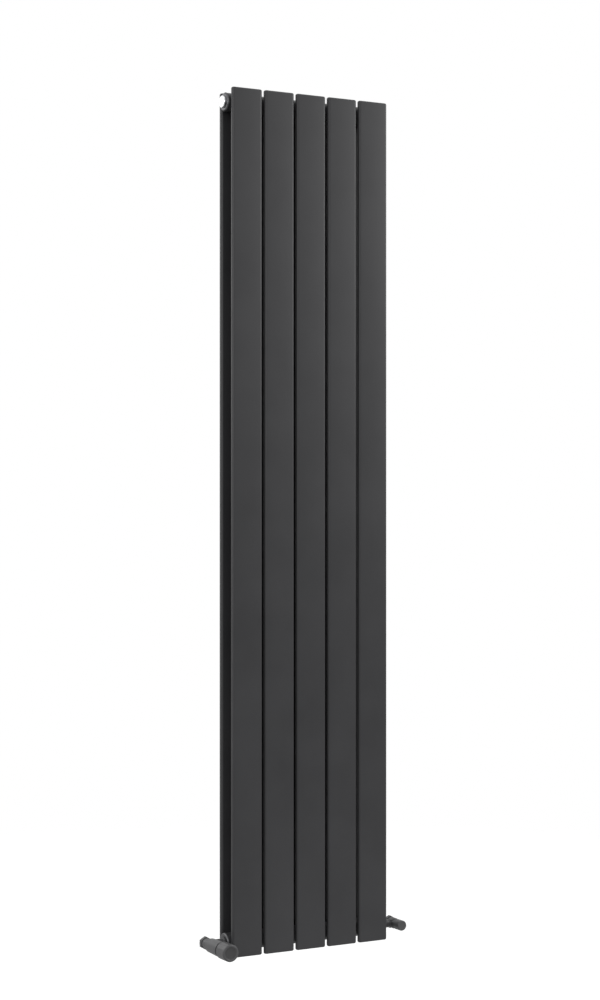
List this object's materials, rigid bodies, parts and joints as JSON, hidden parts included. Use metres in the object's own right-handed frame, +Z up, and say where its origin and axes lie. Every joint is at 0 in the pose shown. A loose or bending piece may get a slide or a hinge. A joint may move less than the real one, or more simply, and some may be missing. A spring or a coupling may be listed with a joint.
{
  "type": "radiator with valves",
  "caption": "Tall wall-hung double-row flat-panel radiator with an angled handwheel valve on the left and an angled lockshield valve on the right.",
  "frame": {"origin": "centre of the four wall fixing holes, on the wall's surface", "axes": "+X to the right seen from the room, +Y into the wall, +Z up"},
  "size_m": [0.4781, 0.165, 1.8],
  "materials": {
    "radiator_coat": "satin anthracite powder coat",
    "machined_steel": "fine turned steel face",
    "polished_chrome": "polished chrome plate",
    "black_rubber": "matt black rubber",
    "zinc_steel": "zinc plated",
    "nylon": "natural nylon",
    "valve_coat": "fine textured anthracite coat on brass",
    "bare_brass": "turned brass",
    "handwheel_plastic": "satin anthracite moulding",
    "disc_plastic": "matt anthracite moulding"
  },
  "bodies": {
    "radiator": {"front_panel_1": "radiator_coat", "front_panel_2": "radiator_coat", "front_panel_3": "radiator_coat", "front_panel_4": "radiator_coat", "front_panel_5": "radiator_coat", "rear_panel_1": "radiator_coat", "rear_panel_2": "radiator_coat", "rear_panel_3": "radiator_coat", "rear_panel_4": "radiator_coat", "rear_panel_5": "radiator_coat", "front_end_strips": "radiator_coat", "rear_end_strips": "radiator_coat", "top_header": "radiator_coat", "bottom_header": "radiator_coat", "port_collars": "radiator_coat", "top_left_header_end": "machined_steel", "top_right_header_end": "machined_steel", "bottom_left_header_end": "machined_steel", "bottom_right_header_end": "machined_steel", "air_vent": "polished_chrome", "blanking_plug": "polished_chrome", "air_vent_o_ring": "black_rubber", "blanking_plug_o_ring": "black_rubber", "wall_brackets": "zinc_steel", "hanging_stirrups": "radiator_coat", "bracket_pads": "nylon", "left_valve_body": "valve_coat", "left_union_tail": "valve_coat", "left_tail_seal": "black_rubber", "left_union_nut": "valve_coat", "left_compression_nut": "valve_coat", "left_olive": "bare_brass", "left_bonnet": "bare_brass", "left_gland_nut": "bare_brass", "left_spindle_o_ring": "black_rubber", "left_skirt": "valve_coat", "left_skirt_nut": "bare_brass", "right_valve_body": "valve_coat", "right_union_tail": "valve_coat", "right_tail_seal": "black_rubber", "right_union_nut": "valve_coat", "right_compression_nut": "valve_coat", "right_olive": "bare_brass", "right_bonnet": "valve_coat", "right_gland_nut": "bare_brass", "right_spindle_o_ring": "black_rubber"},
    "left_handwheel": {"left_spindle": "bare_brass", "left_handwheel": "handwheel_plastic", "left_handwheel_screw": "zinc_steel", "left_handwheel_disc": "disc_plastic"},
    "left_plug": {"left_valve_plug": "bare_brass", "left_plug_washer": "black_rubber"},
    "right_spindle": {"right_spindle": "bare_brass"},
    "right_plug": {"right_valve_plug": "bare_brass", "right_plug_washer": "black_rubber"},
    "right_cap": {"right_lockshield_cap": "handwheel_plastic"},
    "bleed_screw": {"bleed_screw": "polished_chrome"}
  },
  "joints": [
    {"name": "left_handwheel_turn", "type": "hinge", "parent": "radiator", "child": "left_handwheel", "pos_m": [-0.2269, -0.064, -0.8725], "axis": [0, -1, 0], "range_deg": [0, 900]},
    {"name": "left_plug_lift", "type": "slide", "parent": "radiator", "child": "left_plug", "axis": [0, -1, 0], "range_m": [0, 0.0025]},
    {"name": "right_spindle_turn", "type": "hinge", "parent": "radiator", "child": "right_spindle", "pos_m": [0.2214, -0.064, -0.8725], "axis": [0, -1, 0], "range_deg": [0, 900]},
    {"name": "right_plug_lift", "type": "slide", "parent": "radiator", "child": "right_plug", "axis": [0, -1, 0], "range_m": [0, 0.0025]},
    {"name": "right_cap_pull", "type": "slide", "parent": "radiator", "child": "right_cap", "axis": [0, -1, 0], "range_m": [0, 0.035]},
    {"name": "bleed_screw_turn", "type": "hinge", "parent": "radiator", "child": "bleed_screw", "pos_m": [-0.192, -0.064, 0.8725], "axis": [-1, 0, 0], "range_deg": [0, 540]}
  ],
  "couplings": [
    {"joint": "left_handwheel_turn", "follows": "left_plug_lift", "rad_per_m": 6283},
    {"joint": "right_spindle_turn", "follows": "right_plug_lift", "rad_per_m": 6283}
  ]
}
